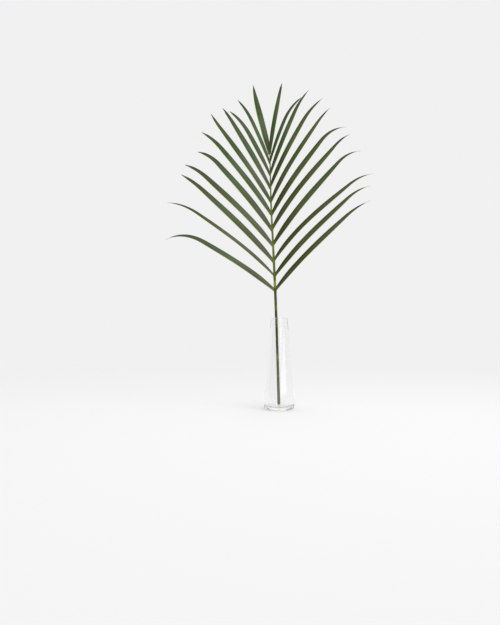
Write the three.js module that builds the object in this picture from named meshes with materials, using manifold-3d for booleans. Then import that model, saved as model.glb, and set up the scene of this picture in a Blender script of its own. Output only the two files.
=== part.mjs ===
// A feather palm frond standing in a slim glass vase.
// Millimetres, +Z up. The origin is the centre of the vase's flat base. +X is to the right, and
// the frond turns its upper face towards -Y.

import * as THREE from "three";
import { mergeVertices } from "three/addons/utils/BufferGeometryUtils.js";
import Module from "manifold-3d";

const wasm = await Module();
wasm.setup();

// Vase: a slender cone of clear glass with a thick floor and rounded corners
const VASE_HEIGHT = 146;
const VASE_BASE_RADIUS = 24.4;
const VASE_RIM_RADIUS = 13.2;
const VASE_WALL = 2.2;
const VASE_FLOOR = 7.5;
const VASE_CORNER = 6;
const VASE_SIDES = 48;
const CORNER_STEPS = 4;

// Pieces that touch are drawn with this gap between them
const SEAT_GAP = 0.3;

// Stalk: height, place across and towards the back, and radius, from the cut foot to the last pair
const STALK_FOOT = VASE_FLOOR + SEAT_GAP;
const STALK_RIM_RADIUS = 2.1;
const STALK_RIM_ACROSS = -4.5;
const STALK_TIP = 424;
const STALK = [
  [STALK_FOOT, -0.5, -1, 2.4],
  [95, -2.9, 4.2, 2.05],
  [VASE_HEIGHT, STALK_RIM_ACROSS, stalkBackAtRim(), STALK_RIM_RADIUS],
  [190, -6.0, 10.5, 2.1],
  [262, -9.2, 16, 1.75],
  [334, -12.5, 22, 1.3],
  [STALK_TIP, -14.2, 31, 0.75],
];
const STALK_SIDES = 10;
const STALK_STEPS = 24;

// The edges of a blade close before its end, so that a thin thread follows, or they would close a
// little beyond it, or well beyond it, where the tip has withered away
const THREAD = 0.985;
const POINT = 1.02;
const BLUNT = 1.08;

// Leaflets: height of the root on the stalk, length seen from the front, angle from the vertical
// at the root, angle gained by arching, share of the length at which the tip starts to droop,
// droop of the tip, width, and share of the length at which the edges close
const LEFT_LEAFLETS = [
  [190, 198, 50, 10.2, 0.68, 62, 8.2, THREAD],
  [214, 206.5, 43.5, 12.3, 0.74, 35, 5.7, POINT],
  [237, 198.5, 41, 7.1, 0.78, 16, 9.2, BLUNT],
  [263, 189, 39.2, 9, 0.78, 28, 9.1, BLUNT],
  [288, 171, 34.7, 8.5, 0.77, 39, 9.4, BLUNT],
  [314, 170, 33.5, 7.4, 0.75, 24, 8.6, BLUNT],
  [335, 165, 32, 5.5, 0.85, -7, 8.1, BLUNT],
  [357, 146, 28.4, 4, 0.8, 7, 8.4, BLUNT],
  [379, 119, 26.5, 4, 0.58, 25, 7.2, BLUNT],
  [398, 113, 21.5, 4.7, 0.6, 19, 6.2, BLUNT],
  [414, 111, 15.7, 0, 0.6, -7, 9.9, POINT],
];
const RIGHT_LEAFLETS = [
  [191, 203, 36.3, 11, 0.76, 24, 7.8, THREAD],
  [214, 207, 35, 12.3, 0.79, 35, 7.9, THREAD],
  [239, 207, 32.7, 18.3, 0.79, 38, 7.2, THREAD],
  [265, 202.5, 31.3, 11, 0.79, 48, 8.6, THREAD],
  [291, 189.5, 28.3, 13.5, 0.84, 28, 8.1, POINT],
  [314, 183.5, 26.9, 11.4, 0.74, 54, 8.3, THREAD],
  [336, 171, 23, 11.9, 0.8, 16, 7.1, POINT],
  [361, 160, 21.5, 8.7, 0.68, 26, 7.2, POINT],
  [382, 142, 18.5, 5.7, 0.68, 20, 6.9, POINT],
  [402, 113, 15, 8, 0.56, 32, 5.4, BLUNT],
  [417, 108.5, 5, 6.4, 0.8, 4, 7.1, BLUNT],
];

// Share of the length at which the arch is fullest, and how sharply the droop of the tip begins
const ARCH_SHARE = 0.7;
const DROOP_POWER = 1.3;
// Slope at which a leaflet leaves the stalk towards the front, for the odd and the even pairs
const FORWARD_SLOPES = [0.42, 0.36];
// A blade leaves the stalk with its upper face turned up by this many degrees, and turns to the
// front along its length
const ROOT_TURN = 30;
// A drooping blade turns its upper face up towards the tip: by this share of its bend, by this
// many degrees at most, and growing with this power of the share of the length
const TURN_SHARE = 0.5;
const TURN_MOST = 40;
const TURN_POWER = 3;
// A blade is folded along its middle, with the edges lower than the midrib by this slope
const FOLD_SLOPE = 0.1;
// A blade is thickest at its root and thins out within this share of its length
const BLADE_THICKNESS = 0.8;
const EDGE_THICKNESS = 0.6;
const ROOT_THICKNESS = 1.7;
const ROOT_SHARE = 0.08;
// Outline of a blade: its root's and tip's share of the full width, the share of the length over
// which a long and a short blade widen, and where and how sharply it starts to narrow to the tip
const ROOT_WIDTH = 0.5;
const TIP_WIDTH = 0.07;
const LONG_WIDENING = 0.21;
const SHORT_WIDENING = 0.36;
const SHORT_LENGTH = 150;
const NARROWING_SHARE = 0.4;
const NARROWING_POWER = 2.5;
const LEAFLET_STATIONS = 15;
const STATION_STEPS = 6;

const LEAF_FINISH = { color: 0x6f7f3f, roughness: 0.55, metalness: 0 };
const GLASS_FINISH = { color: 0xe9efee, roughness: 0.05, metalness: 0 };

const FRONT = new THREE.Vector3(0, -1, 0);
const { lerp, clamp, degToRad } = THREE.MathUtils;

// Outside radius of the vase's straight flank at a height
function vaseRadius(height) {
  return lerp(VASE_BASE_RADIUS, VASE_RIM_RADIUS, height / VASE_HEIGHT);
}

// The stalk leans on the back of the rim, which gives its place there
function stalkBackAtRim() {
  const reach = VASE_RIM_RADIUS - VASE_WALL - SEAT_GAP - STALK_RIM_RADIUS;
  return Math.sqrt(reach * reach - STALK_RIM_ACROSS * STALK_RIM_ACROSS);
}

const stalkHeights = STALK.map((row) => row[0]);
const stalkValues = STALK.flatMap((row) => row.slice(1));
const stalkLine = new THREE.CubicInterpolant(stalkHeights, stalkValues, 3);

// Centre and radius of the stalk at a height
function stalkAt(height) {
  const [across, back, radius] = stalkLine.evaluate(height);
  return { centre: new THREE.Vector3(across, back, height), radius };
}

// A closed skin over rings of points, all with the same number of points. Quads whose place in
// the ring is listed in flipped are split along their other diagonal.
function skin(rings, flipped = []) {
  const size = rings[0].length;
  const positions = rings.flat().flatMap((point) => point.toArray());
  const index = [];
  for (let i = 0; i < rings.length - 1; i++) {
    for (let k = 0; k < size; k++) {
      const a = i * size + k;
      const b = i * size + ((k + 1) % size);
      const c = b + size;
      const d = a + size;
      index.push(...(flipped.includes(k) ? [a, b, d, b, c, d] : [a, b, c, a, c, d]));
    }
  }
  const last = (rings.length - 1) * size;
  for (let k = 1; k < size - 1; k++) {
    index.push(0, k + 1, k);
    index.push(last, last + k, last + k + 1);
  }
  const geometry = new THREE.BufferGeometry();
  geometry.setAttribute("position", new THREE.Float32BufferAttribute(positions, 3));
  geometry.setIndex(index);
  return geometry;
}

// The stalk as level rings from its foot to the last pair of leaflets
function stalkGeometry() {
  const rings = [];
  for (let i = 0; i <= STALK_STEPS; i++) {
    const { centre, radius } = stalkAt(lerp(STALK_FOOT, STALK_TIP, i / STALK_STEPS));
    const ring = [];
    for (let k = 0; k < STALK_SIDES; k++) {
      const turn = (k / STALK_SIDES) * 2 * Math.PI;
      const out = new THREE.Vector3(Math.cos(turn), Math.sin(turn), 0);
      ring.push(centre.clone().addScaledVector(out, radius));
    }
    rings.push(ring);
  }
  return skin(rings);
}

// Share of the full width that a blade has at a share of its length
function bladeOutline(share, widening, closing) {
  const widened = Math.sin((Math.PI / 2) * Math.min(1, share / widening));
  const narrowed = Math.max(0, (share - NARROWING_SHARE) / (closing - NARROWING_SHARE));
  const fromRoot = lerp(ROOT_WIDTH, 1, widened);
  const toTip = Math.max(TIP_WIDTH, 1 - narrowed ** NARROWING_POWER);
  return Math.min(fromRoot, toTip);
}

// One leaflet: a folded blade that leaves the stalk sideways and forwards, arches out and droops.
// The side is -1 for the left and 1 for the right.
function leafletGeometry(side, row, forward) {
  const [root, length, angle, arch, onset, droop, width, closing] = row;
  const widening = length < SHORT_LENGTH ? SHORT_WIDENING : LONG_WIDENING;
  const turnAtRoot = degToRad(ROOT_TURN);
  const turnAtTip = degToRad(clamp(TURN_SHARE * (arch + droop), 0, TURN_MOST));
  const step = length / (LEAFLET_STATIONS * STATION_STEPS);
  const heading = (share) => {
    const arched = Math.sin(((Math.PI / 2) * share) / ARCH_SHARE);
    const drooped = Math.max(0, (share - onset) / (1 - onset)) ** DROOP_POWER;
    const lean = degToRad(angle + arch * arched + droop * drooped);
    const depth = -forward * (1 - share);
    return new THREE.Vector3(side * Math.sin(lean), depth, Math.cos(lean));
  };
  const point = stalkAt(root).centre;
  const rings = [];
  for (let i = 0; i <= LEAFLET_STATIONS; i++) {
    const share = i / LEAFLET_STATIONS;
    const along = heading(share).normalize();
    const face = FRONT.clone().addScaledVector(along, -FRONT.dot(along)).normalize();
    const turn = turnAtRoot * (1 - share) ** 2 + turnAtTip * share ** TURN_POWER;
    face.applyAxisAngle(along, -side * turn);
    const aside = new THREE.Vector3().crossVectors(along, face);
    const rooted = Math.max(0, 1 - share / ROOT_SHARE);
    const middle = lerp(BLADE_THICKNESS, ROOT_THICKNESS, rooted) / 2;
    const edge = lerp(EDGE_THICKNESS, ROOT_THICKNESS, rooted) / 2;
    const half = (width / 2) * bladeOutline(share, widening, closing);
    const drop = FOLD_SLOPE * half;
    const place = (across, up) =>
      point.clone().addScaledVector(aside, across).addScaledVector(face, up);
    rings.push([
      place(-half, edge - drop),
      place(0, middle),
      place(half, edge - drop),
      place(half, -edge - drop),
      place(0, -middle),
      place(-half, -edge - drop),
    ]);
    for (let k = 0; k < STATION_STEPS; k++) {
      point.addScaledVector(heading((i + (k + 0.5) / STATION_STEPS) / LEAFLET_STATIONS), step);
    }
  }
  return skin(rings, [3, 4]);
}

// A geometry as a solid that can be joined, and back again
function toSolid(geometry) {
  const bare = geometry.clone();
  bare.deleteAttribute("normal");
  bare.deleteAttribute("uv");
  const merged = mergeVertices(bare);
  const vertProperties = new Float32Array(merged.getAttribute("position").array);
  const triVerts = new Uint32Array(merged.index.array);
  return new wasm.Manifold(new wasm.Mesh({ numProp: 3, vertProperties, triVerts }));
}

function toGeometry(solid) {
  const mesh = solid.getMesh();
  const geometry = new THREE.BufferGeometry();
  geometry.setAttribute("position", new THREE.BufferAttribute(mesh.vertProperties, 3));
  geometry.setIndex(new THREE.BufferAttribute(mesh.triVerts, 1));
  geometry.computeVertexNormals();
  return geometry;
}

// The frond grew as one piece: the stalk with every leaflet's root sunk into it
function frondGeometry() {
  let frond = toSolid(stalkGeometry());
  for (const [side, rows] of [[-1, LEFT_LEAFLETS], [1, RIGHT_LEAFLETS]]) {
    rows.forEach((row, pair) => {
      const forward = FORWARD_SLOPES[pair % FORWARD_SLOPES.length];
      frond = frond.add(toSolid(leafletGeometry(side, row, forward)));
    });
  }
  return toGeometry(frond);
}

// The vase: its profile from the middle of the base up the outside, over the lip and down the
// inside, turned round the upright axis
function vaseGeometry() {
  const inside = (height) => vaseRadius(height) - VASE_WALL;
  const lip = VASE_WALL / 2;
  const lipStart = VASE_HEIGHT - lip;
  const cornerTop = VASE_FLOOR + VASE_CORNER;
  const floorEdge = inside(VASE_FLOOR) - VASE_CORNER;
  const profile = new THREE.Path();
  profile.moveTo(0, 0);
  profile.lineTo(VASE_BASE_RADIUS - VASE_CORNER, 0);
  profile.quadraticCurveTo(VASE_BASE_RADIUS, 0, vaseRadius(VASE_CORNER), VASE_CORNER);
  profile.lineTo(vaseRadius(lipStart), lipStart);
  profile.absarc(vaseRadius(lipStart) - lip, lipStart, lip, 0, Math.PI);
  profile.lineTo(inside(cornerTop), cornerTop);
  profile.quadraticCurveTo(inside(VASE_FLOOR), VASE_FLOOR, floorEdge, VASE_FLOOR);
  profile.lineTo(0, VASE_FLOOR);
  const lathe = new THREE.LatheGeometry(profile.getPoints(CORNER_STEPS), VASE_SIDES);
  return lathe.rotateX(Math.PI / 2);
}

function piece(name, geometry, finish) {
  const mesh = new THREE.Mesh(geometry, new THREE.MeshStandardMaterial(finish));
  mesh.name = name;
  return mesh;
}

const palmFrond = new THREE.Group();
palmFrond.add(piece("frond", frondGeometry(), LEAF_FINISH));
palmFrond.add(piece("vase", vaseGeometry(), GLASS_FINISH));

export default palmFrond;
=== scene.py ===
# %% [markdown]
# # A palm frond in a glass vase
# One cut feather palm leaf stands in a slim cone of clear glass. The solids give its size and
# place. Here the leaf gets its fine blades, veins and dry tips, and the vase gets real glass.
# Everything is in metres, +Z is up, and the frond looks towards -Y.

# %% Load the frame
import math
import random
from collections import namedtuple
import bmesh
import bpy
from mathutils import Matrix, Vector


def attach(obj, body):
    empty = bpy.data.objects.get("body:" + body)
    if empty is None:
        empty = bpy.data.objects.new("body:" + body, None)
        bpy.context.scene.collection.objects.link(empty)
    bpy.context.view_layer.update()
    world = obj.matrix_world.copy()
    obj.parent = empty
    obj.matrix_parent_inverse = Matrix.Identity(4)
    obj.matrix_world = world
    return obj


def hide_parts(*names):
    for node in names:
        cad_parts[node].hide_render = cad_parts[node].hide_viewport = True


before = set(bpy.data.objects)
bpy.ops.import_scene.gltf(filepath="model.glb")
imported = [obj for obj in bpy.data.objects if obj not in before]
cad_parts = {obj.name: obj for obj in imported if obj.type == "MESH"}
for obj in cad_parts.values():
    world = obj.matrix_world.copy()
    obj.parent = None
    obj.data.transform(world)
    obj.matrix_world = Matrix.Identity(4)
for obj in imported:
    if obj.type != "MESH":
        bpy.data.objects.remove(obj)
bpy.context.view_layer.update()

MM = 0.001

# %% [markdown]
# ## The camera
# The picture is taken from straight in front, level, with a normal lens. A camera could be turned
# to follow the frond, but a level one keeps the upright lines of the vase upright. It stands a
# little to the left of the vase and a little higher than its rim, so the vase sits low and right
# of the middle of the picture.

# %% Camera
CAMERA_PLACE = (-46.7 * MM, -1250 * MM, 154.7 * MM)
LENS, FILM = 45, 36

bpy.ops.object.select_all(action="DESELECT")
bpy.ops.object.camera_add(location=CAMERA_PLACE, rotation=(math.pi / 2, 0, 0))
camera = bpy.context.object
camera.name = "camera"
camera.data.lens = LENS
camera.data.sensor_fit = "VERTICAL"
camera.data.sensor_height = FILM
bpy.context.scene.camera = camera
print("camera at", CAMERA_PLACE)

# %% [markdown]
# ## The line of the stalk
# The stalk is one slender stem from its cut foot to the last pair of leaflets. It leans on the
# back of the vase's rim and bends a little to the left. A few measured places describe it, each
# with a height, a place across and towards the back, and a radius. Between them it runs smoothly,
# with the slope at a place taken as the mean of the stretches that meet there.

# %% Stalk line
STALK = [
    (7.8, -0.5, -1.0, 2.4),
    (95, -2.9, 4.2, 2.05),
    (146, -4.5, 7.3, 2.1),
    (190, -6.0, 10.5, 2.1),
    (262, -9.2, 16.0, 1.75),
    (334, -12.5, 22.0, 1.3),
    (424, -14.2, 31.0, 0.75),
]
FOOT, TIP = STALK[0][0], STALK[-1][0]


def stalk_slope(i, column):
    """Slope of one column of the stalk's places at place i, the mean of the stretches beside it."""
    stretches = [(k, k + 1) for k in (i - 1, i) if 0 <= k < len(STALK) - 1]
    slopes = [
        (STALK[high][column] - STALK[low][column]) / (STALK[high][0] - STALK[low][0])
        for low, high in stretches
    ]
    return sum(slopes) / len(slopes)


def stalk_at(height):
    """Place across, place towards the back and radius of the stalk at a height, all in mm."""
    i = max(k for k in range(len(STALK) - 1) if k == 0 or STALK[k][0] <= height)
    low, high = STALK[i], STALK[i + 1]
    step = high[0] - low[0]
    t = (height - low[0]) / step
    values = []
    for column in (1, 2, 3):
        start, end = low[column], high[column]
        leave, arrive = stalk_slope(i, column) * step, stalk_slope(i + 1, column) * step
        values.append(
            start * (2 * t**3 - 3 * t**2 + 1)
            + leave * (t**3 - 2 * t**2 + t)
            + end * (3 * t**2 - 2 * t**3)
            + arrive * (t**3 - t**2)
        )
    return values


print("stalk at the rim", [round(value, 2) for value in stalk_at(146)])

# %% [markdown]
# ## The leaflets' places
# Each leaflet was measured on the picture: how high its root sits, how long it looks from the
# front, the angle at which it leaves the upright, how much it arches, the share of its length at
# which the tip starts to droop, how far it droops, and how wide it is. The last word says where
# its edges close: before the end, so that a thread follows, or a little or well beyond it, where
# the tip has withered away. The two sides of the frond differ a little, as on any grown leaf.
# Lengths are in millimetres and angles in degrees.

# %% Leaflet table
THREAD, POINT, BLUNT = 0.985, 1.02, 1.08
Leaflet = namedtuple("Leaflet", "root length angle arch onset droop width closing")
LEFT_LEAFLETS = [
    Leaflet(190, 198, 50, 10.2, 0.68, 62, 8.2, THREAD),
    Leaflet(214, 206.5, 43.5, 12.3, 0.74, 35, 5.7, POINT),
    Leaflet(237, 198.5, 41, 7.1, 0.78, 16, 9.2, BLUNT),
    Leaflet(263, 189, 39.2, 9, 0.78, 28, 9.1, BLUNT),
    Leaflet(288, 171, 34.7, 8.5, 0.77, 39, 9.4, BLUNT),
    Leaflet(314, 170, 33.5, 7.4, 0.75, 24, 8.6, BLUNT),
    Leaflet(335, 165, 32, 5.5, 0.85, -7, 8.1, BLUNT),
    Leaflet(357, 146, 28.4, 4, 0.8, 7, 8.4, BLUNT),
    Leaflet(379, 119, 26.5, 4, 0.58, 25, 7.2, BLUNT),
    Leaflet(398, 113, 21.5, 4.7, 0.6, 19, 6.2, BLUNT),
    Leaflet(414, 111, 15.7, 0, 0.6, -7, 9.9, POINT),
]
RIGHT_LEAFLETS = [
    Leaflet(191, 203, 36.3, 11, 0.76, 24, 7.8, THREAD),
    Leaflet(214, 207, 35, 12.3, 0.79, 35, 7.9, THREAD),
    Leaflet(239, 207, 32.7, 18.3, 0.79, 38, 7.2, THREAD),
    Leaflet(265, 202.5, 31.3, 11, 0.79, 48, 8.6, THREAD),
    Leaflet(291, 189.5, 28.3, 13.5, 0.84, 28, 8.1, POINT),
    Leaflet(314, 183.5, 26.9, 11.4, 0.74, 54, 8.3, THREAD),
    Leaflet(336, 171, 23, 11.9, 0.8, 16, 7.1, POINT),
    Leaflet(361, 160, 21.5, 8.7, 0.68, 26, 7.2, POINT),
    Leaflet(382, 142, 18.5, 5.7, 0.68, 20, 6.9, POINT),
    Leaflet(402, 113, 15, 8, 0.56, 32, 5.4, BLUNT),
    Leaflet(417, 108.5, 5, 6.4, 0.8, 4, 7.1, BLUNT),
]
ROOT_HEIGHTS = [row.root for row in LEFT_LEAFLETS + RIGHT_LEAFLETS]
print(len(ROOT_HEIGHTS), "leaflets, the lowest at", min(ROOT_HEIGHTS), "mm")

# %% [markdown]
# ## The stalk
# A tube along a curve would do, but the real stalk has a shallow channel down its upper face and
# swells a little at each leaflet's root. So it is drawn as a ring with a dent in its front, and
# then extruded step by step, each ring moved to its place and scaled to its radius.

# %% Stalk helpers
def deselect():
    bpy.ops.object.select_all(action="DESELECT")


def only(obj):
    """Select one object and make it the active one."""
    deselect()
    obj.select_set(True)
    bpy.context.view_layer.objects.active = obj


def select_where(test):
    """In edit mode, select only the vertices whose place passes the test."""
    mesh = bmesh.from_edit_mesh(bpy.context.object.data)
    bpy.ops.mesh.select_mode(type="VERT")
    bpy.ops.mesh.select_all(action="DESELECT")
    for vertex in mesh.verts:
        vertex.select = test(vertex.co)
    mesh.select_flush(True)
    bmesh.update_edit_mesh(bpy.context.object.data)


def extrude_ring(move, factor, centre):
    """Extrude the selected ring, move it, and scale it about its new centre."""
    bpy.ops.mesh.extrude_region_move(TRANSFORM_OT_translate={"value": move})
    bpy.ops.transform.resize(value=(factor, factor, factor), center_override=centre)


# %% Stalk
STALK_SIDES = 24
STALK_RINGS = 160
CHANNEL_DEPTH, CHANNEL_START = 0.28, 0.9
NODE_SWELL, NODE_REACH = 0.16, 3.0
FOOT_MARGIN = 0.1
STALK_CREASE = math.radians(50)


def stalk_ring(height):
    """Centre and radius of the stalk's ring at a height, in metres, swollen at the leaflets' roots."""
    across, back, radius = stalk_at(height)
    nearest = min(abs(height - root) for root in ROOT_HEIGHTS)
    swollen = radius * (1 + NODE_SWELL * math.exp(-((nearest / NODE_REACH) ** 2)))
    return Vector((across, back, height)) * MM, swollen * MM


centre, radius = stalk_ring(FOOT)
deselect()
bpy.ops.mesh.primitive_circle_add(vertices=STALK_SIDES, radius=radius, location=centre)
stalk = bpy.context.object
stalk.name = "frond_stalk"
bpy.ops.object.transform_apply(location=True, rotation=True, scale=True)
bpy.ops.object.mode_set(mode="EDIT")
front = centre.y - CHANNEL_START * radius
select_where(lambda place: place.y < front)
bpy.ops.transform.translate(value=(0, CHANNEL_DEPTH * radius, 0))
bpy.ops.mesh.select_all(action="SELECT")
for i in range(1, STALK_RINGS + 1):
    old_centre, old_radius = centre, radius
    centre, radius = stalk_ring(FOOT + (TIP - FOOT) * i / STALK_RINGS)
    extrude_ring(centre - old_centre, radius / old_radius, centre)
bpy.ops.mesh.edge_face_add()
foot_level = (FOOT + FOOT_MARGIN) * MM
select_where(lambda place: place.z < foot_level)
bpy.ops.mesh.edge_face_add()
bpy.ops.mesh.select_all(action="SELECT")
bpy.ops.mesh.normals_make_consistent(inside=False)
bpy.ops.object.mode_set(mode="OBJECT")
bpy.ops.object.shade_smooth_by_angle(angle=STALK_CREASE)
print("stalk", len(stalk.data.polygons), "faces")

# %% [markdown]
# ## One blade
# All leaflets are alike: a long narrow blade, folded along its midrib like a low roof, with fine
# ribs beside it. A blade is modelled lying flat along +X at a usual size. It starts as a grid.
# While it is still a plain strip its columns are lowered towards the edges and its ribs are
# raised. Then each row is scaled about the midrib, which tapers the outline and the fold together.

# %% Blade outline
BLADE_LENGTH, BLADE_WIDTH = 200, 8.5
BLADE_ROWS, BLADE_COLUMNS = 96, 16
ROOT_WIDTH = 0.5
LONG_WIDENING, SHORT_WIDENING, SHORT_LENGTH = 0.21, 0.36, 150
NARROWING_SHARE, NARROWING_POWER = 0.4, 2.5
THREAD_WIDTH, THREAD_TAPER = 0.07, 1.6
POINT_SHARE, POINT_WIDTH = 0.06, 0.35


def blade_outline(share, widening, closing):
    """Share of the full width that a blade has at a share of its length."""
    widened = math.sin(math.pi / 2 * min(1, share / widening))
    narrowed = max(0, (share - NARROWING_SHARE) / (closing - NARROWING_SHARE))
    from_root = ROOT_WIDTH + (1 - ROOT_WIDTH) * widened
    pointed = min(1, POINT_WIDTH + (1 - POINT_WIDTH) * (1 - share) / POINT_SHARE)
    to_tip = max(THREAD_WIDTH * (THREAD_TAPER - share), pointed * (1 - narrowed**NARROWING_POWER))
    return min(from_root, to_tip)


print("width at the middle", round(BLADE_WIDTH * blade_outline(0.5, LONG_WIDENING, POINT), 2), "mm")

# %% Blade shape
FOLD_SLOPE = 0.05
MIDRIB_RISE, RIB_RISE = 0.28, 0.09
RIB_COLUMNS = (3, 6)


def fold_columns():
    """In edit mode, lower a flat strip's columns towards its edges and raise its ribs."""
    step = BLADE_WIDTH * MM / BLADE_COLUMNS
    for column in range(BLADE_COLUMNS // 2 + 1):
        aside = column * step
        lift = -FOLD_SLOPE * aside
        if column == 0:
            lift += MIDRIB_RISE * MM
        if column in RIB_COLUMNS:
            lift += RIB_RISE * MM
        select_where(lambda place: abs(abs(place.y) - aside) < step / 4)
        bpy.ops.transform.translate(value=(0, 0, lift))


def taper_rows(widening, closing):
    """In edit mode, scale a folded strip's rows about the midrib to the blade's outline."""
    step = BLADE_LENGTH * MM / BLADE_ROWS
    for row in range(BLADE_ROWS + 1):
        along = row * step
        share = blade_outline(row / BLADE_ROWS, widening, closing)
        select_where(lambda place: abs(place.x - along) < step / 4)
        bpy.ops.transform.resize(value=(1, share, share), center_override=(along, 0, 0))


print("edges of the strip", round(FOLD_SLOPE * BLADE_WIDTH / 2, 2), "mm lower than its middle")

# %% [markdown]
# ## The thickness of the blade
# A leaf is thin, but not paper. Solidify gives the blade its lower face and closes its edges. A
# vertex group makes the root thick, where the leaflet is swollen, and the edges and the tip thin.
# The lower face gets the next material slot, because the underside of a leaflet is paler.

# %% Blade thickness
ROOT_THICKNESS = 1.5
MIDDLE_SHARE, EDGE_SHARE = 0.38, 0.16
ROOT_SHARE, TIP_THINNING = 0.07, 0.5

leaf_materials = [
    bpy.data.materials.new("leaflet_upper_face"),
    bpy.data.materials.new("leaflet_underside"),
]


def thicken(blade, widening, closing):
    """Give the blade a lower face, thick at the root and thin at the edges and the tip."""
    group = blade.vertex_groups.new(name="thickness")
    for vertex in blade.data.vertices:
        along = vertex.co.x / (BLADE_LENGTH * MM)
        half = BLADE_WIDTH * MM / 2 * blade_outline(along, widening, closing)
        aside = min(1, abs(vertex.co.y) / half)
        rooted = max(0, 1 - along / ROOT_SHARE)
        plain = (MIDDLE_SHARE + (EDGE_SHARE - MIDDLE_SHARE) * aside) * (1 - TIP_THINNING * along)
        group.add([vertex.index], plain + (1 - plain) * rooted, "REPLACE")
    solidify = blade.modifiers.new("thickness", "SOLIDIFY")
    solidify.thickness = ROOT_THICKNESS * MM
    solidify.offset = -1
    solidify.vertex_group = group.name
    solidify.material_offset = 1
    for material in leaf_materials:
        blade.data.materials.append(material)
    bpy.ops.object.modifier_apply(modifier=solidify.name)
    blade.vertex_groups.clear()


thinnest = ROOT_THICKNESS * EDGE_SHARE * (1 - TIP_THINNING)
print("blade thickness from", ROOT_THICKNESS, "mm at the root to", round(thinnest, 2), "mm at the tip")

# %% Blades
BLADE_CREASE = math.radians(60)


def model_blade(widening, closing):
    """One blade lying flat along +X, root at the origin, for one way of widening and closing."""
    deselect()
    bpy.ops.mesh.primitive_grid_add(x_subdivisions=BLADE_ROWS, y_subdivisions=BLADE_COLUMNS, size=1)
    blade = bpy.context.object
    blade.scale = (BLADE_LENGTH * MM, BLADE_WIDTH * MM, 1)
    blade.location.x = BLADE_LENGTH * MM / 2
    bpy.ops.object.transform_apply(location=True, rotation=True, scale=True)
    bpy.ops.object.mode_set(mode="EDIT")
    fold_columns()
    taper_rows(widening, closing)
    bpy.ops.object.mode_set(mode="OBJECT")
    thicken(blade, widening, closing)
    bpy.ops.object.shade_smooth_by_angle(angle=BLADE_CREASE)
    return blade


def blade_kind(row):
    """How the blade of one row of the table widens and closes."""
    return (SHORT_WIDENING if row.length < SHORT_LENGTH else LONG_WIDENING, row.closing)


blades = {}
for row in LEFT_LEAFLETS + RIGHT_LEAFLETS:
    if blade_kind(row) not in blades:
        blades[blade_kind(row)] = model_blade(*blade_kind(row))
print(len(blades), "kinds of blade")

# %% [markdown]
# ## Bending the blade into every leaflet
# A leaflet leaves the stalk sideways and a little forwards, arches out, and droops at its tip,
# where it turns its face up. Such a bend is drawn as a curve, and a Curve modifier lays a copy of
# the blade along it. A Curve modifier keeps a blade's face up best, so the frond is bent lying on
# its back, face up, and each finished leaflet is then turned upright.

# %% Leaflet path
ARCH_SHARE, DROOP_POWER = 0.7, 1.3
FORWARD_SLOPES = (0.42, 0.36)
TURN_SHARE, TURN_MOST, TURN_POWER = 0.2, 25, 3
ROOT_TURN = 22
PATH_POINTS = 60
WAVE_DEGREES, WAVE_ONSET, WAVE_COUNTS = 7, 0.33, (1.2, 2.2)

luck = random.Random(11)


def leaflet_path(side, row, forward):
    """Points in mm, as across, height and front, and the blade's turn at each, along one leaflet."""
    across, back = stalk_at(row.root)[:2]
    place = Vector((across, row.root, -back))
    turn_at_tip = min(TURN_MOST, max(0, TURN_SHARE * (row.arch + row.droop)))
    wave_phase, wave_count = luck.uniform(0, 2 * math.pi), luck.uniform(*WAVE_COUNTS)
    step = row.length / PATH_POINTS
    points, turns = [], []
    for i in range(PATH_POINTS + 1):
        share = i / PATH_POINTS
        wave = WAVE_DEGREES * math.sin(wave_phase + 2 * math.pi * wave_count * share)
        wave *= min(1, share / WAVE_ONSET)
        points.append(place.copy())
        turn = ROOT_TURN * (1 - share) ** 2 + turn_at_tip * share**TURN_POWER
        turns.append(-side * math.radians(turn + wave))
        middle = (i + 0.5) / PATH_POINTS
        arched = row.arch * math.sin(math.pi / 2 * middle / ARCH_SHARE)
        drooped = row.droop * max(0, (middle - row.onset) / (1 - row.onset)) ** DROOP_POWER
        lean = math.radians(row.angle + arched + drooped)
        rise = forward * (1 - middle)
        place += Vector((side * math.sin(lean), math.cos(lean), rise)) * step
    return points, turns


print("each path has", PATH_POINTS + 1, "points")

# %% Leaflets
YOUTH_WEIGHT, LUCK_WEIGHT, RIGHT_PAINTED_SHADE = 0.65, 0.35, 0.15


def path_curve(points, turns):
    """A curve through the points, in metres, that carries the blade's turn as its tilt."""
    line = bpy.data.curves.new("leaflet_path", "CURVE")
    line.dimensions = "3D"
    line.twist_mode = "Z_UP"
    spline = line.splines.new("POLY")
    spline.points.add(len(points) - 1)
    for point, place, turn in zip(spline.points, points, turns):
        point.co = (*(place * MM), 1)
        point.tilt = turn
    path = bpy.data.objects.new("leaflet_path", line)
    bpy.context.collection.objects.link(path)
    return path


def path_length(points):
    return sum((after - before).length for before, after in zip(points, points[1:]))


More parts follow.
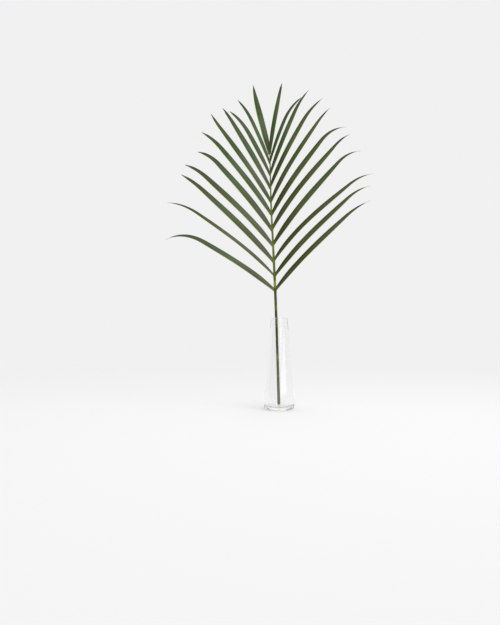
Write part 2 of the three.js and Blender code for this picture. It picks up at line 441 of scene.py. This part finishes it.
def bend_leaflet(name, side, row, forward):
    """A copy of the blade, sized for its place and laid along its path, then stood upright."""
    points, turns = leaflet_path(side, row, forward)
    path = path_curve(points, turns)
    leaflet = blades[blade_kind(row)].copy()
    leaflet.data = leaflet.data.copy()
    leaflet.name = leaflet.data.name = name
    bpy.context.collection.objects.link(leaflet)
    only(leaflet)
    broad = row.width / BLADE_WIDTH
    leaflet.scale = (path_length(points) / BLADE_LENGTH, broad, broad)
    bpy.ops.object.transform_apply(location=True, rotation=True, scale=True)
    bend = leaflet.modifiers.new("bend", "CURVE")
    bend.object = path
    bend.deform_axis = "POS_X"
    bpy.ops.object.modifier_apply(modifier=bend.name)
    bpy.data.curves.remove(path.data)
    leaflet.rotation_euler.x = math.pi / 2
    bpy.ops.object.transform_apply(location=True, rotation=True, scale=True)
    youth = (row.root - min(ROOT_HEIGHTS)) / (max(ROOT_HEIGHTS) - min(ROOT_HEIGHTS))
    right = float(side > 0)
    # Leaflets on the right get a lower tone as painted shade, so they come out more olive and darker.
    freshness_and_side_shade = YOUTH_WEIGHT * youth + LUCK_WEIGHT * luck.random() - RIGHT_PAINTED_SHADE * right
    for word, value in (("tone", freshness_and_side_shade), ("right", right)):
        layer = leaflet.data.attributes.new(word, "FLOAT", "POINT")
        layer.data.foreach_set("value", [value] * len(leaflet.data.vertices))
    return leaflet


leaflets = []
for side, word, rows in ((-1, "left", LEFT_LEAFLETS), (1, "right", RIGHT_LEAFLETS)):
    for pair, row in enumerate(rows):
        forward = FORWARD_SLOPES[pair % len(FORWARD_SLOPES)]
        leaflets.append(bend_leaflet(f"leaflet_{word}_{pair + 1:02d}", side, row, forward))
for blade in blades.values():
    bpy.data.objects.remove(blade)
print(len(leaflets), "leaflets,", sum(len(one.data.polygons) for one in leaflets), "faces")

# %% [markdown]
# ## The vase
# The vase is a slender cone of clear glass with rounded corners, a rounded lip and a thick floor
# that rises to its middle. Glass bends light at both its faces, so the wall needs its real
# thickness. The profile is walked from the base up the outside, over the lip and down the inside to
# the middle of the floor, and a ring is extruded at every step of it.

# %% Vase helpers
VASE_HEIGHT, VASE_FLOOR, FLOOR_EDGE = 146, 7.5, 4.0
BASE_RADIUS, RIM_RADIUS = 24.4, 13.2
WALL = 2.2


def flank(height):
    """Outside radius of the vase's straight side at a height."""
    return BASE_RADIUS + (RIM_RADIUS - BASE_RADIUS) * height / VASE_HEIGHT


def rounded(start, corner, end, steps):
    """Points of a smooth bend from start to end that is drawn towards the corner."""
    bend = []
    for i in range(steps + 1):
        t = i / steps
        weights = ((1 - t) ** 2, 2 * t * (1 - t), t * t)
        bend.append(tuple(sum(w * p[k] for w, p in zip(weights, (start, corner, end))) for k in (0, 1)))
    return bend


def straight(start, end, steps):
    """Points between two ends, without the ends."""
    return [
        tuple(start[k] + (end[k] - start[k]) * i / steps for k in (0, 1)) for i in range(1, steps)
    ]


def inside(height):
    return flank(height) - WALL


print("vase radius half way up", round(flank(VASE_HEIGHT / 2), 1), "mm")

# %% Vase profile
CORNER = 6
CORNER_STEPS, LIP_STEPS, FLANK_STEPS, DOME_STEPS = 10, 10, 6, 12

lip = WALL / 2
lip_start = VASE_HEIGHT - lip
lip_middle = flank(lip_start) - lip
outer_corner = rounded(
    (BASE_RADIUS - CORNER, 0), (BASE_RADIUS, 0), (flank(CORNER), CORNER), CORNER_STEPS
)
lip_bend = [
    (
        lip_middle + lip * math.cos(math.pi * i / LIP_STEPS),
        lip_start + lip * math.sin(math.pi * i / LIP_STEPS),
    )
    for i in range(LIP_STEPS + 1)
]
inner_corner = rounded(
    (inside(FLOOR_EDGE + CORNER), FLOOR_EDGE + CORNER),
    (inside(FLOOR_EDGE), FLOOR_EDGE),
    (inside(FLOOR_EDGE) - CORNER, FLOOR_EDGE),
    CORNER_STEPS,
)
dome_shares = [1 - i / DOME_STEPS for i in range(1, DOME_STEPS)]
dome = [
    (inner_corner[-1][0] * share, VASE_FLOOR + (FLOOR_EDGE - VASE_FLOOR) * share**2)
    for share in dome_shares
]
vase_profile = (
    outer_corner
    + straight(outer_corner[-1], lip_bend[0], FLANK_STEPS)
    + lip_bend
    + straight(lip_bend[-1], inner_corner[0], FLANK_STEPS)
    + inner_corner
    + dome
)
print("vase profile of", len(vase_profile), "points")

# %% Vase
ROUND_SIDES = 128
VASE_CREASE = math.radians(40)


def turned(name, profile):
    """A round piece whose rings follow a profile of radius and height, closed at both ends."""
    radius, height = profile[0]
    deselect()
    bpy.ops.mesh.primitive_circle_add(
        vertices=ROUND_SIDES, radius=radius * MM, location=(0, 0, height * MM), fill_type="NGON"
    )
    piece = bpy.context.object
    piece.name = name
    bpy.ops.object.transform_apply(location=True, rotation=True, scale=True)
    bpy.ops.object.mode_set(mode="EDIT")
    bpy.ops.mesh.select_all(action="SELECT")
    bpy.ops.mesh.select_mode(type="EDGE")
    bpy.ops.mesh.region_to_loop()
    for new_radius, new_height in profile[1:]:
        centre = (0, 0, new_height * MM)
        extrude_ring((0, 0, (new_height - height) * MM), new_radius / radius, centre)
        radius, height = new_radius, new_height
    bpy.ops.mesh.edge_face_add()
    bpy.ops.mesh.select_all(action="SELECT")
    bpy.ops.mesh.normals_make_consistent(inside=False)
    bpy.ops.object.mode_set(mode="OBJECT")
    bpy.ops.object.shade_smooth_by_angle(angle=VASE_CREASE)
    return piece


vase = turned("vase_glass", vase_profile)
print("vase", len(vase.data.polygons), "faces, height", round(vase.dimensions.z / MM, 1), "mm")

# %% [markdown]
# ## Finish of the leaflets
# A leaflet is olive green with fresher and darker stretches along it, a pale midrib, fine veins
# that run its whole length, and thin edges that are paler below, where light shines through. It
# grows dull outwards, its outer end browns and its tip has dried to grey brown. Painted shade
# darkens it at the root and on the outer upper half, and darkens the leaflets on the right, most
# of all at their tips. All of that follows the blade, so the finish reads the blade's own UV map,
# where U runs from root to tip and V from edge to edge. Two attributes make every leaflet a little
# different: its own tone, and whether it is on the right.

# %% Node helpers
NOISE_ROUGHNESS = 0.55


def new_finish(material):
    """Empty a material's node tree and return it with a new Principled shader."""
    material.use_nodes = True
    tree = material.node_tree
    tree.nodes.clear()
    shader = tree.nodes.new("ShaderNodeBsdfPrincipled")
    output = tree.nodes.new("ShaderNodeOutputMaterial")
    tree.links.new(shader.outputs["BSDF"], output.inputs["Surface"])
    return tree, shader


def fill(tree, node, values):
    """Set or link a node's inputs, given as numbers, colours or sockets."""
    for key, value in values.items():
        if isinstance(value, bpy.types.NodeSocket):
            tree.links.new(value, node.inputs[key])
        else:
            node.inputs[key].default_value = value
    return node


def filled(tree, kind, values):
    """A new node of one kind with its inputs set or linked."""
    return fill(tree, tree.nodes.new(kind), values)


def math_node(tree, operation, first, second=0.0):
    node = filled(tree, "ShaderNodeMath", {0: first, 1: second})
    node.operation = operation
    return node.outputs[0]


def added(tree, first, second):
    return math_node(tree, "ADD", first, second)


def scaled(tree, value, factor):
    return math_node(tree, "MULTIPLY", value, factor)


def band(tree, value, low, high):
    """A smooth mask that is 0 at low and 1 at high; low may be the greater."""
    node = filled(tree, "ShaderNodeMapRange", {"Value": value, "From Min": low, "From Max": high})
    node.interpolation_type = "SMOOTHSTEP"
    return node.outputs[0]


def mixed(tree, mask, first, second):
    """Colour that goes from the first to the second as the mask goes from 0 to 1."""
    node = tree.nodes.new("ShaderNodeMix")
    node.data_type = "RGBA"
    return fill(tree, node, {"Factor": mask, 6: first, 7: second}).outputs[2]


def noise(tree, place, detail):
    """A soft random pattern whose grains are one unit of the place across."""
    values = {"Vector": place, "Scale": 1.0, "Detail": detail, "Roughness": NOISE_ROUGHNESS}
    return filled(tree, "ShaderNodeTexNoise", values).outputs["Fac"]


def bump(tree, height, strength, distance):
    values = {"Height": height, "Strength": strength, "Distance": distance}
    return filled(tree, "ShaderNodeBump", values).outputs[0]


# %% Leaflet patterns
OWN_SHIFT = 53.0


def attribute(tree, name):
    node = tree.nodes.new("ShaderNodeAttribute")
    node.attribute_name = name
    return node.outputs["Fac"]


def leaf_places(tree):
    """Where a point lies along and across its leaflet, and how near the leaflet's lower edge."""
    uv = tree.nodes.new("ShaderNodeUVMap")
    uv.uv_map = "UVMap"
    split = filled(tree, "ShaderNodeSeparateXYZ", {0: uv.outputs[0]})
    along, across = split.outputs[0], split.outputs[1]
    flipped = math_node(tree, "SUBTRACT", across, attribute(tree, "right"))
    return along, across, math_node(tree, "ABSOLUTE", flipped)


def leaf_pattern(tree, along, across, long_scale, broad_scale, detail):
    """A noise along the blade, different on every leaflet."""
    values = {
        "X": scaled(tree, along, long_scale),
        "Y": scaled(tree, across, broad_scale),
        "Z": scaled(tree, attribute(tree, "tone"), OWN_SHIFT),
    }
    return noise(tree, filled(tree, "ShaderNodeCombineXYZ", values).outputs[0], detail)


# %% Leaflet body
INNER_BAND, OUTER_BAND = (0.2, 0.5), (0.95, 0.6)
PATCH_WEIGHT, MIDDLE_WEIGHT, FRESH_BAND = 1.8, 0.25, (1.25, 1.75)
ROOT_SHADE_PATCHES, ROOT_SHADE_BAND = 0.5, (0.2, 0.75)
OLD_BAND, OLD_DARK = (0.35, 0.0), 0.4
UPPER_BAND, UPPER_PAINTED_SHADE, SHADED_BAND = (0.75, 0.1), 0.8, (0.4, 0.9)


def leaf_body(tree, along, low, patches, dark, olive, green):
    """Olive and green stretches, darker on old leaflets, with painted shade at the root and on the
    outer upper half.
    """
    tone = attribute(tree, "tone")
    middle = scaled(tree, band(tree, along, *INNER_BAND), band(tree, along, *OUTER_BAND))
    mottled = added(tree, tone, scaled(tree, patches, PATCH_WEIGHT))
    freshness_and_side_shade = added(tree, mottled, scaled(tree, middle, MIDDLE_WEIGHT))
    colour = mixed(tree, band(tree, freshness_and_side_shade, *FRESH_BAND), olive, green)
    # Painted shade: the blade darkens towards its root, where it meets the stalk.
    grown = added(tree, along, scaled(tree, patches, ROOT_SHADE_PATCHES))
    colour = mixed(tree, band(tree, grown, *ROOT_SHADE_BAND), dark, colour)
    old = scaled(tree, band(tree, tone, *OLD_BAND), OLD_DARK)
    colour = mixed(tree, old, colour, dark)
    # Painted shade: the outer part of the upper half darkens, where the fold turns it from the light.
    upper = scaled(tree, band(tree, low, *UPPER_BAND), UPPER_PAINTED_SHADE)
    painted_upper_shade = scaled(tree, upper, band(tree, along, *SHADED_BAND))
    return mixed(tree, painted_upper_shade, colour, dark)


# %% Leaflet tip
DRY_TIP = (0.085, 0.072, 0.055, 1)
BROWN_AND_SHADE = (0.03, 0.026, 0.01, 1)
WITHERED_PATCHES = 0.1
BROWN_SHARE, RIGHT_TIP_PAINTED_SHADE = 0.15, 0.5
BROWN_BAND, DRY_BAND = (0.88, 1.0), (0.985, 1.05)


def leaf_tip(tree, along, patches, colour):
    """A brown outer end, darker on the right as painted shade, and a dry grey tip."""
    withered = added(tree, along, scaled(tree, patches, WITHERED_PATCHES))
    # Painted shade: the browning is stronger on the right.
    share = added(tree, scaled(tree, attribute(tree, "right"), RIGHT_TIP_PAINTED_SHADE), BROWN_SHARE)
    brown_and_shade = scaled(tree, share, band(tree, withered, *BROWN_BAND))
    colour = mixed(tree, brown_and_shade, colour, BROWN_AND_SHADE)
    return mixed(tree, band(tree, withered, *DRY_BAND), colour, DRY_TIP)


# %% Leaflet finish
PATCH_SCALES, VEIN_SCALES = (7.0, 1.0, 3.0), (3.0, 26.0, 2.0)
VEIN_BAND, VEIN_DARK = (0.62, 0.42), 0.6
MIDRIB_BAND, EDGE_BAND, ROOT_BAND = (0.05, 0.015), (0.38, 0.46), (0.07, 0.0)
EDGE_SHARE_ABOVE, EDGE_MORE_BELOW = 0.2, 0.8
OUTER_DULLNESS, VEIN_DULLNESS, ROOT_GLOSS = 0.55, 0.16, 0.2
VEIN_BUMP = (0.35, 0.00012)


def leaf_finish(material, dark, olive, green, midrib, edge, rough):
    """One face of a leaflet, from its colours and its roughness."""
    tree, shader = new_finish(material)
    along, across, low = leaf_places(tree)
    aside = math_node(tree, "ABSOLUTE", math_node(tree, "SUBTRACT", across, 0.5))
    patches = leaf_pattern(tree, along, across, *PATCH_SCALES)
    veins = leaf_pattern(tree, along, across, *VEIN_SCALES)

    colour = leaf_body(tree, along, low, patches, dark, olive, green)
    colour = mixed(tree, scaled(tree, band(tree, veins, *VEIN_BAND), VEIN_DARK), colour, dark)
    colour = mixed(tree, band(tree, aside, *MIDRIB_BAND), colour, midrib)
    lit = added(tree, scaled(tree, low, EDGE_MORE_BELOW), EDGE_SHARE_ABOVE)
    colour = mixed(tree, scaled(tree, lit, band(tree, aside, *EDGE_BAND)), colour, edge)
    colour = mixed(tree, band(tree, along, *ROOT_BAND), colour, midrib)
    worn = added(tree, scaled(tree, along, OUTER_DULLNESS), rough - ROOT_GLOSS)
    values = {
        "Base Color": leaf_tip(tree, along, patches, colour),
        "Roughness": added(tree, worn, scaled(tree, veins, VEIN_DULLNESS)),
        "Normal": bump(tree, veins, *VEIN_BUMP),
        "Specular IOR Level": 0.5,
    }
    fill(tree, shader, values)


leaf_finish(
    leaf_materials[0],
    dark=(0.024, 0.031, 0.004, 1),
    olive=(0.057, 0.067, 0.009, 1),
    green=(0.018, 0.077, 0.003, 1),
    midrib=(0.08, 0.11, 0.02, 1),
    edge=(0.24, 0.33, 0.03, 1),
    rough=0.3,
)
leaf_finish(
    leaf_materials[1],
    dark=(0.06, 0.075, 0.026, 1),
    olive=(0.1, 0.115, 0.045, 1),
    green=(0.078, 0.115, 0.038, 1),
    midrib=(0.15, 0.17, 0.05, 1),
    edge=(0.2, 0.26, 0.05, 1),
    rough=0.6,
)
print("leaflet finishes made:", [material.name for material in leaf_materials])

# %% [markdown]
# ## Finish of the stalk
# The stalk is yellower than the blades, with fibres along it and soft pale and dark stretches. At
# the foot it was cut, and the cut shows pale pith with the dark ends of the fibres. The stalk is
# nearly upright, so a pattern on Object coordinates that is squeezed along Z follows it well.

# %% Stalk finish
STALK_DARK = (0.028, 0.035, 0.002, 1)
STALK_GREEN = (0.082, 0.097, 0.005, 1)
STALK_PALE = (0.22, 0.24, 0.03, 1)
STALK_FOOT = (0.17, 0.185, 0.11, 1)
STALK_YOUNG = (0.2, 0.27, 0.04, 1)
FIBRE_SCALE, STRETCH_SCALE, STALK_DETAIL = (1500, 1500, 40), (20, 20, 42), 2.0
FIBRE_BAND, STRETCH_BAND = (0.3, 0.7), (0.5, 0.72)
FOOT_BAND, YOUNG_BAND, YOUNG_SHARE = (0.11, 0.01), (0.18, 0.24), 0.4
DULLNESS_BAND, FIBRE_BUMP = (-1.0, 1.6), (0.3, 0.0001)


def object_place(tree, scale=(1, 1, 1)):
    """Object coordinates, scaled separately along X, Y and Z."""
    place = tree.nodes.new("ShaderNodeTexCoord").outputs["Object"]
    return filled(tree, "ShaderNodeMapping", {"Vector": place, "Scale": scale}).outputs[0]


def object_height(tree):
    return filled(tree, "ShaderNodeSeparateXYZ", {0: object_place(tree)}).outputs[2]


def stalk_finish(material):
    tree, shader = new_finish(material)
    fibres = noise(tree, object_place(tree, FIBRE_SCALE), STALK_DETAIL)
    stretches = noise(tree, object_place(tree, STRETCH_SCALE), STALK_DETAIL)
    height = object_height(tree)
    colour = mixed(tree, band(tree, fibres, *FIBRE_BAND), STALK_DARK, STALK_GREEN)
    colour = mixed(tree, band(tree, stretches, *STRETCH_BAND), colour, STALK_PALE)
    colour = mixed(tree, band(tree, height, *FOOT_BAND), colour, STALK_FOOT)
    young = scaled(tree, band(tree, height, *YOUNG_BAND), YOUNG_SHARE)
    values = {
        "Base Color": mixed(tree, young, colour, STALK_YOUNG),
        "Roughness": band(tree, fibres, *DULLNESS_BAND),
        "Normal": bump(tree, fibres, *FIBRE_BUMP),
        "Specular IOR Level": 0.15,
    }
    fill(tree, shader, values)


stalk_skin = bpy.data.materials.new("stalk_skin")
stalk_finish(stalk_skin)
stalk.data.materials.append(stalk_skin)
print("stalk finish made:", stalk_skin.name)

# %% Cut pith
PITH_PALE = (0.3, 0.3, 0.13, 1)
PITH_DARK = (0.1, 0.09, 0.035, 1)
FIBRE_ENDS, FIBRE_END_BAND = 2600.0, (0.32, 0.18)
PITH_BUMP = (0.4, 0.0001)
FACING_DOWN = -0.9


def pith_finish(material):
    tree, shader = new_finish(material)
    flat_place = object_place(tree, (1, 1, 0))
    cells = filled(tree, "ShaderNodeTexVoronoi", {"Vector": flat_place, "Scale": FIBRE_ENDS})
    dots = band(tree, cells.outputs["Distance"], *FIBRE_END_BAND)
    values = {
        "Base Color": mixed(tree, dots, PITH_PALE, PITH_DARK),
        "Roughness": 0.75,
        "Normal": bump(tree, cells.outputs["Distance"], *PITH_BUMP),
    }
    fill(tree, shader, values)


cut_pith = bpy.data.materials.new("cut_pith")
pith_finish(cut_pith)
stalk.data.materials.append(cut_pith)
for face in stalk.data.polygons:
    face.material_index = int(face.center.z < foot_level and face.normal.z < FACING_DOWN)
print("faces of cut pith:", sum(face.material_index for face in stalk.data.polygons))

# %% [markdown]
# ## Clear glass
# Glass shows itself only by what it bends and mirrors, so it needs no pattern. Its wall gets a faint
# grey tint, painted shade for the grey that clear glass picks up from the dimmer room, while the
# thick floor stays clear. So the tint changes a little with height.

# %% Glass finish
GLASS_BEND = 1.47
GLASS_WALL_PAINTED_GREY = (0.978, 0.982, 0.981, 1)
GLASS_FLOOR = (0.996, 0.998, 0.998, 1)
PAINTED_GREY_BAND = (0.006, 0.014)

clear_glass = bpy.data.materials.new("clear_glass")
tree, shader = new_finish(clear_glass)
# Painted shade: the wall's faint grey tint; the thick floor stays clear.
painted_grey = band(tree, object_height(tree), *PAINTED_GREY_BAND)
fill(tree, shader, {"Base Color": mixed(tree, painted_grey, GLASS_FLOOR, GLASS_WALL_PAINTED_GREY)})
shader.inputs["Roughness"].default_value = 0.0
shader.inputs["IOR"].default_value = GLASS_BEND
shader.inputs["Transmission Weight"].default_value = 1.0
vase.data.materials.append(clear_glass)
print("glass finish made:", clear_glass.name)

# %% [markdown]
# ## The room and its floor
# The frond stands on a plain pale floor in a white room. Most light comes from all round, but the
# room is dimmer on the left, behind the camera, which leaves the leaflets on the right darker. Far
# away the floor turns into the same white, or the same dim grey, as the room on that side, like a
# studio's curved backdrop, so no horizon line shows. The grey comes in with one over the distance,
# because that is how a floor is foreshortened. The floor lies a hair below the glass, as under a
# real vase, because light can't pass from one to the other where two faces share a plane.

# %% Room
ROOM_WHITE = (0.88, 0.877, 0.882, 1)
ROOM_DIM = (0.22, 0.22, 0.22, 1)
DIM_SIDE, DIM_BAND = (-0.87, -0.5, 0), (0.6, 0.95)


def vector_math(tree, operation, values):
    node = filled(tree, "ShaderNodeVectorMath", values)
    node.operation = operation
    return node.outputs


def room_colour(tree, direction):
    """The room's white, dimmer towards its dim side, for a direction of unit length."""
    towards = vector_math(tree, "DOT_PRODUCT", {0: direction, 1: DIM_SIDE})["Value"]
    return mixed(tree, band(tree, towards, *DIM_BAND), ROOM_WHITE, ROOM_DIM)


room = bpy.data.worlds.new("room")
room.use_nodes = True
tree = room.node_tree
outwards = tree.nodes.new("ShaderNodeTexCoord").outputs["Generated"]
fill(tree, tree.nodes["Background"], {"Color": room_colour(tree, outwards)})
bpy.context.scene.world = room
print("room white", ROOM_WHITE[:3], "and dim", ROOM_DIM[:3])

# %% Floor
FLOOR_SIZE, FLOOR_GAP = 180, 0.2

deselect()
bpy.ops.mesh.primitive_plane_add(size=FLOOR_SIZE, location=(0, 0, -FLOOR_GAP * MM))
floor = bpy.context.object
floor.name = "floor"
bpy.ops.object.transform_apply(location=True, rotation=True, scale=True)
print("floor", FLOOR_SIZE, "m,", FLOOR_GAP, "mm below the glass")

# %% Floor paint
FLOOR_WHITE = (0.93, 0.93, 0.93, 1)
FLOOR_FADE, DIM_FADE = (-0.9, 1.5), (0.9, 0.06)

paint = bpy.data.materials.new("floor_paint")
tree, shader = new_finish(paint)
shader.inputs["Base Color"].default_value = FLOOR_WHITE
shader.inputs["Roughness"].default_value = 0.85
shader.inputs["Specular IOR Level"].default_value = 0.1
spot = object_place(tree)
far = vector_math(tree, "LENGTH", {0: spot})["Value"]
outwards = vector_math(tree, "NORMALIZE", {0: spot})["Vector"]
dim_share = band(tree, math_node(tree, "DIVIDE", 1.0, far), *DIM_FADE)
far_colour = mixed(tree, dim_share, ROOM_WHITE, room_colour(tree, outwards))
glow = filled(tree, "ShaderNodeEmission", {"Color": far_colour})
fade_share = band(tree, far, *FLOOR_FADE)
fade_values = {0: fade_share, 1: shader.outputs[0], 2: glow.outputs[0]}
fade = filled(tree, "ShaderNodeMixShader", fade_values)
output = next(node for node in tree.nodes if node.type == "OUTPUT_MATERIAL")
fill(tree, output, {"Surface": fade.outputs[0]})
floor.data.materials.append(paint)
print("floor paint made:", paint.name)

# %% [markdown]
# ## The light
# A large soft window in front and to the right gives the leaflets on the left their brighter faces
# and the glass its upright streak, and a weak lamp overhead lights the floor. In a thin glass wall
# light runs to and fro many times before it leaves. If it is followed for only a few of those turns
# the rim and the base go black, so it may take many more than usual.

# %% Light
WINDOW_PLACE = (1.13, -1.55, 1.1)
WINDOW_AIM = Vector((0, 0, 0.28))
WINDOW_SIZE = (2.5, 2.2)
WINDOW_POWER = 27
CEILING_HEIGHT, CEILING_SIZE, CEILING_POWER = 2.2, 2.4, 4
GLASS_BOUNCES = 48

deselect()
bpy.ops.object.light_add(type="AREA", location=WINDOW_PLACE)
window = bpy.context.object
window.name = "window"
window.data.shape = "RECTANGLE"
window.data.size, window.data.size_y = WINDOW_SIZE
window.data.energy = WINDOW_POWER
window.rotation_euler = (WINDOW_AIM - window.location).to_track_quat("-Z", "Y").to_euler()
deselect()
bpy.ops.object.light_add(type="AREA", location=(0, 0, CEILING_HEIGHT))
ceiling = bpy.context.object
ceiling.name = "ceiling"
ceiling.data.size = CEILING_SIZE
ceiling.data.energy = CEILING_POWER
bpy.context.scene.view_settings.view_transform = "Standard"
paths = bpy.context.scene.cycles
paths.max_bounces = paths.glossy_bounces = paths.transmission_bounces = GLASS_BOUNCES
print("window light of", WINDOW_POWER, "W")

# %% [markdown]
# ## Handing over
# Every piece moves with the one body that there is. The stalk and the leaflets together stand
# for the solid frond and the glass for the solid vase, so those are hidden.

# %% Hand over
for piece in [stalk, *leaflets]:
    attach(piece, "root")
    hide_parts("frond")
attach(vase, "root")
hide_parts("vase")
